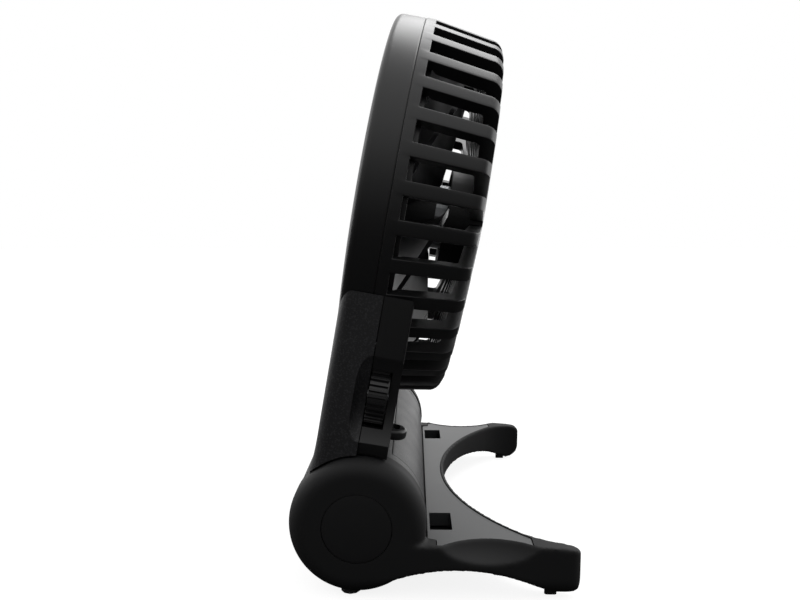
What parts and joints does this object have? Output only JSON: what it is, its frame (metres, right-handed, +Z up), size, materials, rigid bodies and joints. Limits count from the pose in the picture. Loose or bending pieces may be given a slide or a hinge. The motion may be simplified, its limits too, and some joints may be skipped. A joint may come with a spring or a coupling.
{
  "type": "clip fan",
  "caption": "Battery table fan: round caged head on a flat neck whose barrel folds between the cheeks of a two-pronged stand, with a thumb wheel for speed.",
  "frame": {"origin": "on the ground, under the middle of the fan", "axes": "+Z up, +X towards the prongs of the stand (the air leaves towards -X), the hinge runs along Y and the thumb wheel is on the -Y side"},
  "size_m": [0.104, 0.16, 0.2187],
  "materials": {
    "stand_plastic": "soft matte",
    "plate_plastic": "satin",
    "shell_plastic": "fine grain",
    "cage_plastic": "satin",
    "blade_plastic": "semi-gloss",
    "foot_rubber": "matte",
    "steel": "bright",
    "contact_brass": "satin",
    "board": "satin",
    "cell_sleeve": "satin sleeve"
  },
  "bodies": {
    "stand": {"stand_frame": "stand_plastic", "top_plate": "plate_plastic", "front_foot_near": "foot_rubber", "front_foot_far": "foot_rubber", "rear_foot_near": "foot_rubber", "rear_foot_far": "foot_rubber", "pivot_pin_near": "steel", "pivot_pin_far": "steel", "pivot_cap_near": "stand_plastic", "pivot_cap_far": "stand_plastic", "friction_washer_near": "foot_rubber", "friction_washer_far": "foot_rubber", "plate_screw_1": "steel", "plate_screw_2": "steel", "plate_screw_3": "steel", "plate_screw_4": "steel"},
    "body": {"front_shell": "shell_plastic", "rear_frame": "cage_plastic", "battery_door": "shell_plastic", "battery_cell_near": "cell_sleeve", "battery_cell_far": "cell_sleeve", "contact_spring": "steel", "contact_plate": "contact_brass", "circuit_board": "board", "speed_control": "cage_plastic", "neck_screw_1": "steel", "neck_screw_2": "steel", "neck_screw_3": "steel", "neck_screw_4": "steel", "front_ring": "cage_plastic", "front_grille": "cage_plastic", "rear_cage": "cage_plastic", "motor": "steel", "motor_cap": "cage_plastic"},
    "rotor": {"fan_rotor": "blade_plastic", "motor_shaft": "steel"},
    "wheel": {"speed_wheel": "cage_plastic", "wheel_pin": "steel"}
  },
  "joints": [
    {"name": "body_fold", "type": "hinge", "parent": "stand", "child": "body", "pos_m": [-0.0273, 0, 0.0253], "axis": [0, 1, 0], "range_deg": [-20, 77.5]},
    {"name": "rotor_spin", "type": "hinge", "parent": "body", "child": "rotor", "pos_m": [-0.00761, 0, 0.13698], "axis": [0.9848, 0, -0.1736], "continuous": true},
    {"name": "wheel_turn", "type": "hinge", "parent": "body", "child": "wheel", "pos_m": [-0.02003, -0.0656, 0.07002], "axis": [0.9848, 0, -0.1736], "range_deg": [0, 270]}
  ]
}
